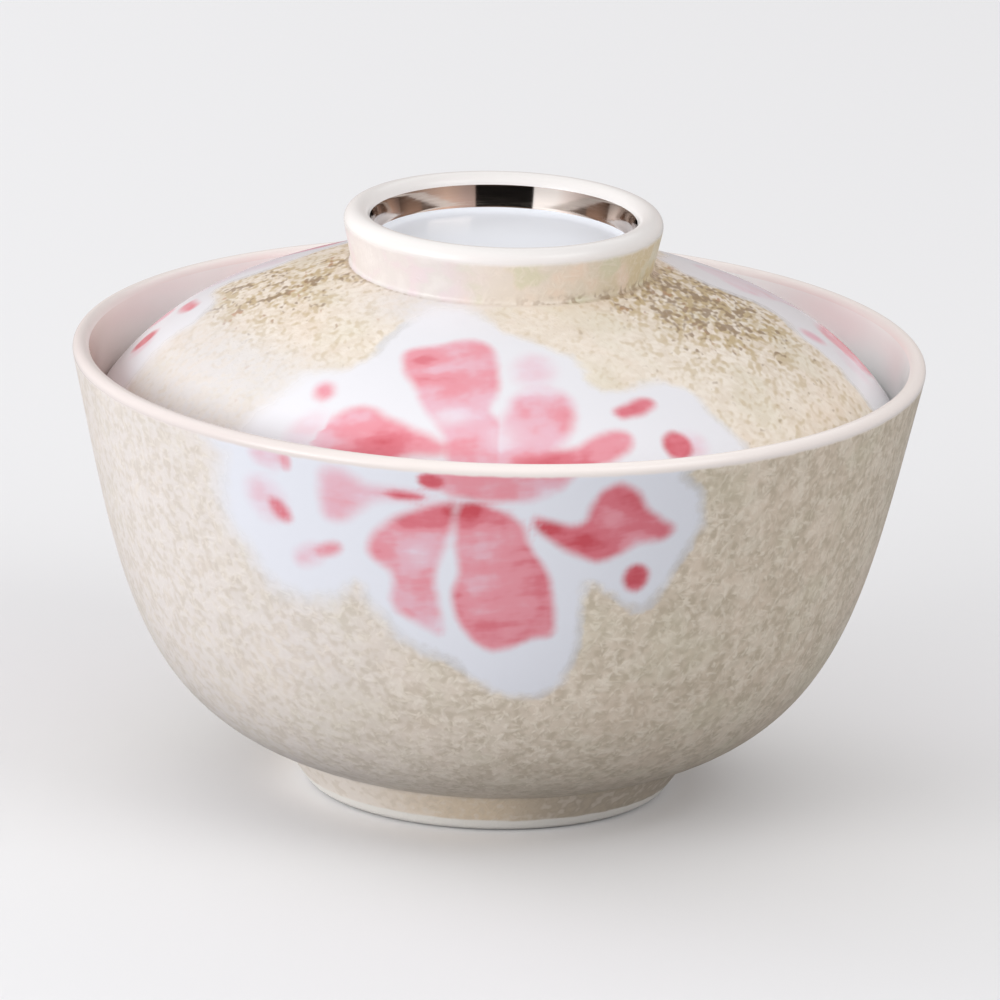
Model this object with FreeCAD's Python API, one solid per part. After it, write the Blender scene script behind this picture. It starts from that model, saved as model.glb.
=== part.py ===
"""A lidded porcelain rice bowl: a bowl on a foot ring, and a domed lid that rests inside its mouth.

Both pieces are turned forms, so each one is a closed outline in the X-Z plane, revolved about Z.
Lengths are millimetres and angles degrees. The origin is the centre of the foot's base, with Z up.
"""

import os
import FreeCAD, Part
from math import cos, hypot, radians, sin, tan

# Bowl, outside
RIM_DIAMETER = 150.0         # across the outside of the lip
BOWL_HEIGHT = 79.1           # from the table to the top of the lip
LIP_FLARE = 12.6             # lean of the wall away from upright, at the lip
WALL_REACH = 39.6            # how far down that lean still steers the wall
BELLY_SLOPE = 19.0           # slope of the wall where it leaves the foot
BELLY_REACH = 27.9           # how far out that slope still steers the wall

# Bowl, thickness
LIP_WALL = 2.9               # at the lip, which is rounded over in full
FOOT_WALL = 5.0              # where the wall leaves the foot
FLOOR_THICKNESS = 4.0        # at the centre of the bowl
FLOOR_STATION = 0.28         # share of the wall's curve where the floor's curve takes over inside

# Foot ring
FOOT_DIAMETER = 62.8         # across the base, before its edge is rounded
FOOT_HEIGHT = 7.7            # from the table to the crease under the wall
FOOT_FLARE = 5.5             # how far the crease stands out past the base
FOOT_RING_WIDTH = 4.6        # from the outside of the base to the recess
FOOT_EDGE_ROUND = 2.8
FOOT_INNER_ROUND = 1.2
RECESS_DEPTH = 5.2           # from the table to the underside of the floor, at the centre
RECESS_DOME = 0.6            # how much deeper the recess is beside the ring
RECESS_TAPER = 8.0           # lean of the recess's side
RECESS_FILLET = 1.6

# Lid
LID_DROP = 10.2              # from the top of the lip down to the middle of the lid's edge
SEAT_GAP = 0.15              # between the lid's edge and the wall that it rests against
LID_WALL = 3.0               # through the dome and at its rounded edge
DOME_RISE = 25.5             # from the middle of the lid's edge to the crease under the knob
EDGE_SLOPE = 55.0            # slope of the dome at its edge
EDGE_REACH = 18.4            # how far that slope still steers the dome
CROWN_SLOPE = 18.4           # slope of the dome where it meets the knob
CROWN_REACH = 19.2           # how far that slope still steers the dome
CROWN_THICKNESS = 4.0        # through the lid at its centre

# Ring knob
KNOB_DIAMETER = 56.1         # across the ring's rounded lip
KNOB_HEIGHT = 9.9            # from the crease on the dome to the top of the ring
KNOB_FLARE = 1.55            # how far the lip stands out past the ring's root
KNOB_LIP_WALL = 4.6          # through the ring at its rounded lip
WELL_DEPTH = 6.8             # from the top of the ring to the edge of the floor inside it
WELL_DRAFT = 0.95            # how far the well draws in from the lip to that floor
WELL_CROWN = 1.0             # how far the middle of that floor stands above its edge
WELL_FILLET = 1.2

CREASE_FILLET = 0.7          # glaze that fills the creases at the foot and the knob
OFFSET_STATIONS = 9          # places where a wall's thickness is measured off

knob_lip = KNOB_LIP_WALL / 2.0
well_radius = KNOB_DIAMETER / 2.0 - KNOB_LIP_WALL - WELL_DRAFT


def point(radius, height):
    """A place on an outline: its distance from the axis, and its height."""
    return FreeCAD.Vector(radius, 0.0, height)


def heading(slope):
    """The direction away from the axis that climbs at one angle."""
    return point(cos(radians(slope)), sin(radians(slope)))


def line(start, end):
    return Part.LineSegment(start, end).toShape()


def arc(start, middle, end):
    return Part.Arc(start, middle, end).toShape()


def bezier(*poles):
    curve = Part.BezierCurve()
    curve.setPoles(list(poles))
    return curve


def inward(curve, t, distance):
    """The point at one distance inside an outer curve, square to it, at parameter t."""
    along = curve.tangent(t)[0]
    return curve.value(t) + point(-along.z, along.x) * distance


def inner_side(curve, first, wall):
    """The inside of a wall whose thickness wall(t) is measured square to its outer curve."""
    step = (1.0 - first) / (OFFSET_STATIONS - 1)
    stations = [first + step * i for i in range(OFFSET_STATIONS)]
    inner = Part.BSplineCurve()
    inner.interpolate(Points=[inward(curve, t, wall(t)) for t in stations],
                      InitialTangent=curve.tangent(first)[0],
                      FinalTangent=curve.tangent(1.0)[0])
    return inner


def level_out(height, end, along):
    """A curve that leaves the axis level at one height and runs into end along its direction.

    It rounds off the corner where the line through end meets the level line from the axis.
    """
    corner = end.x - (end.z - height) * along.x / along.z
    return bezier(point(0.0, height), point(corner / 2.0, height), point(corner, height), end)


def crowned(centre_height, radius, edge_height):
    """A shallow dome or dish: level at the axis, and at its own height at one radius."""
    return bezier(point(0.0, centre_height), point(radius / 2.0, centre_height),
                  point(radius, edge_height))


def tangent_point(centre, radius, below, side):
    """Where the line from a point below touches a circle: side 1 is its outside, -1 its inside."""
    gap = below - centre
    distance = hypot(gap.x, gap.z)
    across = side * (distance ** 2 - radius ** 2) ** 0.5
    return centre + (gap * radius + point(-gap.z, gap.x) * across) * (radius / distance ** 2)


def revolve(edges):
    """The solid that a closed outline sweeps in one turn about Z."""
    face = Part.Face(Part.Wire(edges))
    return face.revolve(point(0.0, 0.0), FreeCAD.Vector(0.0, 0.0, 1.0), 360.0)


def round_corner(solid, corner, radius):
    """Fillets the circular edge that one corner of the outline swept."""
    swept = [edge for edge in solid.Edges
             if not edge.Degenerated and isinstance(edge.Curve, Part.Circle)
             and abs(edge.Curve.Radius - corner.x) < 1e-4
             and abs(edge.Curve.Center.z - corner.z) < 1e-4]
    return solid.makeFillet(radius, swept)


def bowl_outside():
    """The bowl's outer wall, from the crease at the foot to where the lip starts to round."""
    lip = LIP_WALL / 2.0
    lean = 90.0 - LIP_FLARE
    crease = point(FOOT_DIAMETER / 2.0 + FOOT_FLARE, FOOT_HEIGHT)
    lip_centre = point(RIM_DIAMETER / 2.0 - lip, BOWL_HEIGHT - lip)
    top = lip_centre + heading(lean - 90.0) * lip
    return bezier(crease, crease + heading(BELLY_SLOPE) * BELLY_REACH,
                  top - heading(lean) * WALL_REACH, top)


def bowl_wall(t):
    """Thickness of the bowl's wall, which thins evenly from the foot to the lip."""
    return FOOT_WALL + (LIP_WALL - FOOT_WALL) * t


def make_bowl():
    """Wall, lip, floor, foot ring and the recess under the floor, as one turned piece."""
    outside = bowl_outside()
    inside = inner_side(outside, FLOOR_STATION, bowl_wall)
    lip_centre = inward(outside, 1.0, LIP_WALL / 2.0)
    lip_top = lip_centre + outside.tangent(1.0)[0] * (LIP_WALL / 2.0)
    floor_height = RECESS_DEPTH + FLOOR_THICKNESS
    floor = level_out(floor_height, inside.StartPoint, outside.tangent(FLOOR_STATION)[0])

    ceiling_height = RECESS_DEPTH + RECESS_DOME
    base_outer = point(FOOT_DIAMETER / 2.0, 0.0)
    base_inner = base_outer - point(FOOT_RING_WIDTH, 0.0)
    ceiling_edge = base_inner + point(-ceiling_height * tan(radians(RECESS_TAPER)), ceiling_height)
    ceiling = crowned(RECESS_DEPTH, ceiling_edge.x, ceiling_edge.z)

    bowl = revolve([
        ceiling.toShape(),
        line(ceiling_edge, base_inner),
        line(base_inner, base_outer),
        line(base_outer, outside.StartPoint),
        outside.toShape(),
        arc(outside.EndPoint, lip_top, inside.EndPoint),
        inside.toShape(),
        floor.toShape(),
        line(floor.StartPoint, ceiling.StartPoint),
    ])
    bowl = round_corner(bowl, base_outer, FOOT_EDGE_ROUND)
    bowl = round_corner(bowl, base_inner, FOOT_INNER_ROUND)
    bowl = round_corner(bowl, ceiling_edge, RECESS_FILLET)
    return round_corner(bowl, outside.StartPoint, CREASE_FILLET)


def lid_edge_centre():
    """Centre of the lid's rounded edge: one gap off the bowl's wall, at the height where it rests."""
    outside = bowl_outside()
    low, high = 0.0, 1.0
    for _ in range(50):
        t = (low + high) / 2.0
        centre = inward(outside, t, bowl_wall(t) + SEAT_GAP + LID_WALL / 2.0)
        if centre.z < BOWL_HEIGHT - LID_DROP:
            low = t
        else:
            high = t
    return centre


def lid_wall(t):
    """Thickness of the dome, which is even."""
    return LID_WALL


def make_lid():
    """Dome with a rounded edge, and the ring knob with a well in its top, as one turned piece."""
    edge_centre = lid_edge_centre()
    edge_start = edge_centre + heading(90.0 - EDGE_SLOPE) * (LID_WALL / 2.0)
    edge_tip = edge_centre + heading(-EDGE_SLOPE) * (LID_WALL / 2.0)
    root = point(KNOB_DIAMETER / 2.0 - KNOB_FLARE, edge_centre.z + DOME_RISE)
    dome = bezier(edge_start, edge_start - heading(-EDGE_SLOPE) * EDGE_REACH,
                  root + heading(-CROWN_SLOPE) * CROWN_REACH, root)
    underside = inner_side(dome, 0.0, lid_wall)

    ring_top = root.z + KNOB_HEIGHT
    well_edge = point(well_radius, ring_top - WELL_DEPTH)
    well_floor = crowned(well_edge.z + WELL_CROWN, well_edge.x, well_edge.z)
    ring_centre = point(KNOB_DIAMETER / 2.0 - knob_lip, ring_top - knob_lip)
    ring_inner = tangent_point(ring_centre, knob_lip, well_edge, -1)
    ring_outer = tangent_point(ring_centre, knob_lip, root, 1)
    crown_height = well_edge.z + WELL_CROWN - CROWN_THICKNESS
    crown = level_out(crown_height, underside.EndPoint, dome.tangent(1.0)[0])

    lid = revolve([
        well_floor.toShape(),
        line(well_edge, ring_inner),
        arc(ring_inner, ring_centre + point(0.0, knob_lip), ring_outer),
        line(ring_outer, root),
        dome.toShape(),
        arc(edge_start, edge_tip, underside.StartPoint),
        underside.toShape(),
        crown.toShape(),
        line(crown.StartPoint, well_floor.StartPoint),
    ])
    lid = round_corner(lid, well_edge, WELL_FILLET)
    return round_corner(lid, root, CREASE_FILLET)


pieces = {
    "bowl": make_bowl(),
    "lid": make_lid(),
}

os.makedirs("parts", exist_ok=True)
for name, shape in pieces.items():
    shape.exportStep(f"parts/{name}.step")
    print(name, "valid", shape.isValid(), "solids", len(shape.Solids), "volume", round(shape.Volume))
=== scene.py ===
"""The looks of the lidded bowl: its painted bowl and lid, and the studio that they stand in.

Both pieces are turned forms. An outline of (radius, height) points is worked out from the same
measures as the solids, and carried round the upright axis. The painting is laid on two flat charts
in millimetres: the bowl's is its wall unrolled, the lid's is its dome pressed flat round the knob.
Azimuth is measured from the front, which is -Y, towards +X.
"""
from math import acos, cos, pi, radians, sin, tan

import bpy
import numpy as np
from mathutils import Matrix, Vector


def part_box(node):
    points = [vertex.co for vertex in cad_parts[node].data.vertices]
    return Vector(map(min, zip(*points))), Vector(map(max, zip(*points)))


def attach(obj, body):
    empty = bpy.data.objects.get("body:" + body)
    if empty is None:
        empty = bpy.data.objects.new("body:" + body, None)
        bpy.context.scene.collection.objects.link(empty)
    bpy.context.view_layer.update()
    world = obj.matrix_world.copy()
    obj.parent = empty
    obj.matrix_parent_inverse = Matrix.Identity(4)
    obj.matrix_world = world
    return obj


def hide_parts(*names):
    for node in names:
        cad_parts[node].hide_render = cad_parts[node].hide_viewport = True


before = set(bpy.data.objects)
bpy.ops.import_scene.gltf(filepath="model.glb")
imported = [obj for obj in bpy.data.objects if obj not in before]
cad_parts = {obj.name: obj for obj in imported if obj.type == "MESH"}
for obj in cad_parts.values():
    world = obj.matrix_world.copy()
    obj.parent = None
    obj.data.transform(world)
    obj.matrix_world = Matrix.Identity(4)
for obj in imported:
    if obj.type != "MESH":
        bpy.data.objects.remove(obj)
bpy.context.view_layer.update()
bowl_low, bowl_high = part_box("bowl")

bl_info = {
    "name": "Lidded Bowl",
    "version": (1, 0, 0),
    "blender": (4, 5, 0),
    "location": "3D View > Sidebar > Lidded Bowl",
    "description": "A bowl and its lid, glazed and painted with blossom, on a plain studio floor",
    "category": "Object",
}

MM = 0.001
COLUMNS = 480                # steps round the axis
END_STEPS = 8                # steps from a curve's end to the point that gives its direction

BLOSSOMS = (0.0, 122.0, 238.0)  # azimuth of each of the three painted blossoms, in degrees
BOWL_CHART_RADIUS = 70.0     # millimetres along the bowl's chart for each radian of azimuth
WET_EDGE = 1.25              # what the softness given for each mark is multiplied by
MARK_REACH = 8.0             # millimetres round a mark in which its distance is worked out
FAR_AWAY = 30.0              # millimetres that stand for a place out of every mark's reach
LEAST_PIGMENT = 0.02

# Where one finish begins to give way to the next, and where it has, in millimetres.
LIP_LINE = (0.55, -0.1)      # ground to white lip, down the bowl's wall
FOOT_GROUND = (8.6, 6.8)     # wall's ground to foot's ground, above the table
BARE_EDGE = (2.7, 2.2)       # foot's ground to bare clay, above the table
KNOB_ROOT = (-0.9, 0.5)      # dome to knob, up the knob's side
KNOB_LIP_LINE = (7.2, 8.4)   # knob's ground to its white lip, up the knob's side

SHIFT_PARTS = (1.0, 0.7, 1.3)  # how much of a pattern's shift goes along each axis
FINE_SHARE = 0.62            # share of a grain's noise that is fine; the rest is wider drifts
DRIFT_SIZE = 2.3             # how many times wider those drifts are
FLECK_HEIGHT = 0.03          # millimetres that the flecks stand up under the glaze


def linear(red, green, blue):
    """A colour given as 0 to 255 steps, as the light it stands for, by the sRGB curve."""
    steps = np.array([red, green, blue]) / 255.0
    light = np.where(steps <= 0.04045, steps / 12.92, ((steps + 0.055) / 1.055) ** 2.4)
    return tuple(float(value) for value in light)


def length(name, description, metres):
    return bpy.props.FloatProperty(name=name, description=description, default=metres,
                                   min=0.0, precision=5, subtype="DISTANCE", unit="LENGTH")


def angle(name, description, degrees):
    return bpy.props.FloatProperty(name=name, description=description, default=radians(degrees),
                                   subtype="ANGLE", unit="ROTATION")


def share(name, description, value):
    return bpy.props.FloatProperty(name=name, description=description, default=value,
                                   min=0.0, max=1.0, subtype="FACTOR")


def power(name, description, watts):
    return bpy.props.FloatProperty(name=name, description=description, default=watts,
                                   min=0.0, unit="POWER")


def colour(name, description, red, green, blue):
    return bpy.props.FloatVectorProperty(name=name, description=description, size=3,
                                         default=linear(red, green, blue), min=0.0, max=1.0,
                                         subtype="COLOR")


class BowlForm(bpy.types.PropertyGroup):
    """Measures of the bowl, the same as in its solid."""

    rim_diameter: length("Rim diameter", "Across the outside of the lip", bowl_high.x - bowl_low.x)
    height: length("Height", "From the table to the top of the lip", bowl_high.z)
    lip_flare: angle("Lip flare", "Lean of the wall away from upright, at the lip", 12.6)
    wall_reach: length("Wall reach", "How far down the lip's lean still steers the wall", 0.0396)
    belly_slope: angle("Belly slope", "Slope of the wall where it leaves the foot", 19.0)
    belly_reach: length("Belly reach", "How far out that slope still steers the wall", 0.0279)
    lip_wall: length("Lip wall", "Thickness at the lip, which is rounded in full", 0.0029)
    foot_wall: length("Foot wall", "Thickness where the wall leaves the foot", 0.005)
    floor_thickness: length("Floor thickness", "At the centre of the bowl", 0.004)
    floor_station: share("Floor station", "Share of the wall where the floor takes over", 0.28)
    foot_diameter: length("Foot diameter", "Across the base of the ring", 0.0628)
    foot_height: length("Foot height", "From the table to the crease under the wall", 0.0077)
    foot_flare: length("Foot flare", "How far the crease stands out past the base", 0.0055)
    ring_width: length("Foot ring width", "Thickness of the ring at the table", 0.0046)
    edge_round: length("Foot edge round", "Radius of the ring's outer edge", 0.0028)
    inner_round: length("Foot inner round", "Radius of the ring's inner edge", 0.0012)
    recess_depth: length("Recess depth", "From the table to the floor's underside", 0.0052)
    recess_dome: length("Recess dome", "How much deeper the recess is beside the ring", 0.0006)
    recess_taper: angle("Recess taper", "Lean of the recess's side", 8.0)
    recess_fillet: length("Recess fillet", "Radius in the recess's corner", 0.0016)
    crease_fillet: length("Crease fillet", "Glaze that fills the creases", 0.0007)


class LidForm(bpy.types.PropertyGroup):
    """Measures of the lid and its ring knob, the same as in their solid."""

    drop: length("Drop", "From the top of the bowl's lip to the middle of the lid's edge", 0.0102)
    seat_gap: length("Seat gap", "Between the lid's edge and the bowl's wall", 0.00015)
    wall: length("Wall", "Thickness of the dome", 0.003)
    dome_rise: length("Dome rise", "From the middle of the edge to the crease at the knob", 0.0255)
    edge_slope: angle("Edge slope", "Slope of the dome at its edge", 55.0)
    edge_reach: length("Edge reach", "How far the edge's slope still steers the dome", 0.0184)
    crown_slope: angle("Crown slope", "Slope of the dome at the knob", 18.4)
    crown_reach: length("Crown reach", "How far the crown's slope still steers the dome", 0.0192)
    crown_thickness: length("Crown thickness", "Through the lid at its centre", 0.004)
    knob_diameter: length("Knob diameter", "Across the ring's rounded lip", 0.0561)
    knob_height: length("Knob height", "From the crease to the top of the ring", 0.0099)
    knob_flare: length("Knob flare", "How far the ring's lip stands out past its root", 0.00155)
    knob_wall: length("Knob wall", "Through the ring at its rounded lip", 0.0046)
    well_depth: length("Well depth", "From the top of the ring to the floor inside it", 0.0068)
    well_draft: length("Well draft", "How far the well draws in towards its floor", 0.00095)
    well_crown: length("Well crown", "How far the middle of that floor stands up", 0.001)
    well_fillet: length("Well fillet", "Radius in the well's corner", 0.0012)
    crease_fillet: length("Crease fillet", "Glaze that fills the crease", 0.0007)


class GlazeColours(bpy.types.PropertyGroup):
    """Colours of the glazes and pigments, with some that stand for painted light and shade."""

    ground_deep: colour("Deep ground", "Darkest grains of the beige ground", 197, 183, 162)
    ground: colour("Ground", "Beige ground", 220, 205, 186)
    fleck: colour("Fleck", "Short pale dashes in the ground", 240, 229, 213)
    # painted sheen: the bowl's ground washed pale on its left by the left lamps
    bowl_sheen_ground: colour("Thin ground", "Where the bowl's ground is sprayed thinly", 230, 224, 223)
    # the foot's tones follow the left lamps: deep on the right and back partly as painted shade,
    # pale on the left partly as painted light
    foot_deep_and_shade: colour("Deep foot", "Beige of the foot's right and back", 192, 178, 160)
    foot_warm: colour("Warm foot", "Beige of the foot's front", 236, 216, 190)
    foot_pale_and_lit: colour("Pale foot", "Nearly white left of the foot", 250, 240, 230)
    lid_ground: colour("Lid ground", "Cream ground of the lid", 237, 226, 213)
    # painted sheen: the lid's ground washed pale on its left by the left lamps
    lid_sheen_ground: colour("Thin lid ground", "Where the lid's ground is sprayed thinly", 217, 213, 213)
    lid_shade: colour("Lid shade", "Beige between the lid's cream flecks", 221, 206, 188)
    gold: colour("Gold speckle", "Yellow brown grains of the lid", 188, 164, 117)
    speckle: colour("Brown speckle", "Dark grains near the knob", 143, 117, 88)
    rust: colour("Rust", "Warmer spots among the speckle", 186, 130, 84)
    knob: colour("Knob ground", "Smooth beige on the knob's side", 225, 214, 201)
    knob_warm: colour("Warm knob ground", "Yellower beige round the knob's side", 212, 196, 158)
    # partly white glaze, partly painted sheen: the knob's pale left side
    knob_white_and_sheen: colour("Thin knob ground", "Nearly white side of the knob", 222, 215, 214)
    peach: colour("Peach tint", "Warm clouds in the ground", 232, 212, 194)
    olive: colour("Olive tint", "Greenish clouds in the ground", 215, 209, 184)
    reserve: colour("Reserve", "Bluish white left round the bowl's blossom", 229, 231, 240)
    lid_reserve: colour("Lid reserve", "White left round the lid's blossom", 230, 229, 234)
    halo: colour("Halo", "Faint line where the ground meets the white", 205, 206, 212)
    petal_faint: colour("Faint petal", "Thinnest pigment", 230, 203, 217)
    petal_pale: colour("Pale petal", "Thin pigment", 229, 181, 195)
    petal_rose: colour("Rose petal", "Middling pigment", 229, 150, 162)
    petal_red: colour("Red petal", "Strong pigment", 219, 118, 131)
    petal_deep: colour("Deep petal", "Pigment where it gathers", 203, 80, 92)
    lip: colour("Lip", "White glaze along the bowl's lip", 244, 235, 231)
    # painted shade: the lip's white glaze darkened on its left
    lip_shaded_left: colour("Duller lip", "The lip's glaze on the left", 224, 214, 211)
    knob_lip: colour("Knob lip", "White glaze along the knob's lip", 234, 230, 228)
    inside: colour("Inside", "White glaze inside the bowl", 248, 247, 244)
    # painted shade with a painted pink reflection of the lid, on the left of the bowl's inside
    inside_shade_left: colour("Warmer inside", "The same on the left", 203, 166, 155)
    well: colour("Well", "Bluish white glaze inside the knob", 240, 243, 250)
    platinum: colour("Platinum", "Metal band inside the knob", 212, 200, 192)
    clay: colour("Bare clay", "Unglazed edge of the foot", 250, 246, 240)


class StudioSetting(bpy.types.PropertyGroup):
    """The floor, the lamps and where the camera stands."""

    floor: colour("Floor", "Pale studio floor", 233, 233, 235)
    floor_width: length("Floor width", "Side of the square floor", 6.0)
    distance: length("Camera distance", "From the lens to the middle of the bowl", 2.5)
    aim_height: length("Aim height", "Height of the middle of the view", 0.050)
    elevation: angle("Elevation", "How far the camera looks down", 16.23)
    roll: angle("Roll", "How far the photograph is tilted", 1.853)
    right: length("Aim right", "How far the aim lies right of the axis", 0.00094)
    up: length("Aim up", "How far the aim lies above the aim height", 0.0012)
    key: power("Key", "Soft lamp at the front left", 7.6)
    low: power("Low", "Small lamp close to the floor at the left", 3.4)
    side: power("Side", "Lamp behind and to the left", 6.2)
    fill: power("Fill", "Dim lamp at the front right", 5.4)
    rear: power("Rear", "Soft lamp behind", 1.2)
    ambient: share("Ambient", "Even light from all round, where 1 is white", 0.68)


def heading(slope):
    """The direction away from the axis that climbs at one angle."""
    return np.array([cos(slope), sin(slope)])


def bezier(*poles, steps=500):
    """The curve that poles steer, by repeated blending of neighbours from t = 0 to t = 1."""
    t = np.linspace(0.0, 1.0, steps + 1)[:, None]
    layer = [np.broadcast_to(np.asarray(pole, float), (steps + 1, 2)) for pole in poles]
    while len(layer) > 1:
        layer = [first * (1.0 - t) + second * t for first, second in zip(layer, layer[1:])]
    return layer[0]


def arc(centre, radius, start, end, steps=60):
    """Part of a circle: centre plus radius times (cos a, sin a), for a from start to end."""
    turn = np.linspace(start, end, steps + 1)
    return np.asarray(centre) + radius * np.column_stack([np.cos(turn), np.sin(turn)])


def line(start, end):
    return np.array([start, end], float)


def run_length(points):
    """Distance along a line of points, from its first point to each."""
    steps = np.linalg.norm(np.diff(points, axis=0), axis=1)
    return np.concatenate([[0.0], np.cumsum(steps)])


def spaced(points, rows, start=0.0, end=0.0):
    """The same line with evenly spaced points, less a length cut off at its start and its end."""
    run = run_length(points)
    stations = np.linspace(start, run[-1] - end, rows + 1)
    return np.column_stack([np.interp(stations, run, points[:, axis]) for axis in (0, 1)])


def inward_normals(points):
    """Left-hand normals of a line of points: its direction (x, z) turned to (-z, x)."""
    along = np.gradient(points, axis=0)
    along /= np.linalg.norm(along, axis=1)[:, None]
    return np.column_stack([-along[:, 1], along[:, 0]])


def rounded(before, corner, after, radius, steps=24):
    """The arc that rounds a corner, touching the lines to the points before and after it.

    It starts radius / tan(half the corner's angle) away from the corner. Also gives that set-back.
    """
    corner = np.asarray(corner, float)
    back = (before - corner) / np.linalg.norm(before - corner)
    on = (after - corner) / np.linalg.norm(after - corner)
    half = acos(float(np.clip(back @ on, -1.0, 1.0))) / 2.0
    set_back = radius / tan(half)
    centre = corner + (back + on) / np.linalg.norm(back + on) * radius / sin(half)
    spokes = [corner + back * set_back - centre, corner + on * set_back - centre]
    start, end = (np.arctan2(spoke[1], spoke[0]) for spoke in spokes)
    end = start + (end - start + pi) % (2.0 * pi) - pi
    return arc(centre, radius, start, end, steps), set_back


def level_out(height, end, along):
    """Leaves the axis level at one height and runs into end along its direction."""
    corner = end[0] - (end[1] - height) * along[0] / along[1]
    return bezier((0.0, height), (corner / 2.0, height), (corner, height), end)


def tangent_point(centre, radius, below, side):
    """Where the line from a point below touches a circle: side 1 is its outside, -1 its inside."""
    gap = below - centre
    distance = np.linalg.norm(gap)
    across = side * (distance ** 2 - radius ** 2) ** 0.5
    turned = np.array([-gap[1], gap[0]])
    return centre + (gap * radius + turned * across) * (radius / distance ** 2)


def bowl_outside(form):
    """The bowl's outer wall as points, with its thickness at each and the lip's centre."""
    lip = form.lip_wall / 2.0
    lean = pi / 2.0 - form.lip_flare
    crease = np.array([form.foot_diameter / 2.0 + form.foot_flare, form.foot_height])
    lip_centre = np.array([form.rim_diameter / 2.0 - lip, form.height - lip])
    top = lip_centre + heading(lean - pi / 2.0) * lip
    outside = bezier(crease, crease + heading(form.belly_slope) * form.belly_reach,
                     top - heading(lean) * form.wall_reach, top)
    wall = np.linspace(form.foot_wall, form.lip_wall, len(outside))
    return outside, wall, lip_centre


def bowl_outline(form):
    """The bowl's outline from the axis underneath, out over foot, wall and lip, and back inside.

    Each section is a line of points, its number of rows, and the glaze on it.
    """
    outside, wall, lip_centre = bowl_outside(form)
    first = round(form.floor_station * (len(outside) - 1))
    inside = (outside + inward_normals(outside) * wall[:, None])[first:]
    along = outside[first + 1] - outside[first - 1]
    floor = level_out(form.recess_depth + form.floor_thickness, inside[0], along)

    ceiling_height = form.recess_depth + form.recess_dome
    base_outer = np.array([form.foot_diameter / 2.0, 0.0])
    base_inner = base_outer - (form.ring_width, 0.0)
    corner = base_inner + (-ceiling_height * tan(form.recess_taper), ceiling_height)
    ceiling = bezier((0.0, form.recess_depth), (corner[0] / 2.0, form.recess_depth), corner)
    crease = outside[0]

    recess_arc, recess_cut = rounded(ceiling[-1 - END_STEPS], corner, base_inner,
                                     form.recess_fillet)
    inner_arc, inner_cut = rounded(corner, base_inner, base_outer, form.inner_round)
    outer_arc, outer_cut = rounded(base_inner, base_outer, crease, form.edge_round)
    crease_arc, crease_cut = rounded(base_outer, crease, outside[END_STEPS], form.crease_fillet)
    lip_arc = arc(lip_centre, form.lip_wall / 2.0, -form.lip_flare, pi - form.lip_flare)

    return [
        ("ceiling", spaced(ceiling, 10, 0.0, recess_cut), "glaze"),
        ("recess corner", spaced(recess_arc, 5), "glaze"),
        ("recess side", spaced(line(corner, base_inner), 4, recess_cut, inner_cut), "bare"),
        ("base inner edge", spaced(inner_arc, 4), "bare"),
        ("base", spaced(line(base_inner, base_outer), 3, inner_cut, outer_cut), "bare"),
        ("base outer edge", spaced(outer_arc, 8), "painted"),
        ("foot side", spaced(line(base_outer, crease), 10, outer_cut, crease_cut), "painted"),
        ("crease", spaced(crease_arc, 4), "painted"),
        ("wall", spaced(outside, 84, crease_cut), "painted"),
        ("lip", spaced(lip_arc, 14), "painted"),
        ("inside", spaced(inside[::-1], 40), "inside"),
        ("floor", spaced(floor[::-1], 14), "inside"),
    ]


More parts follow.
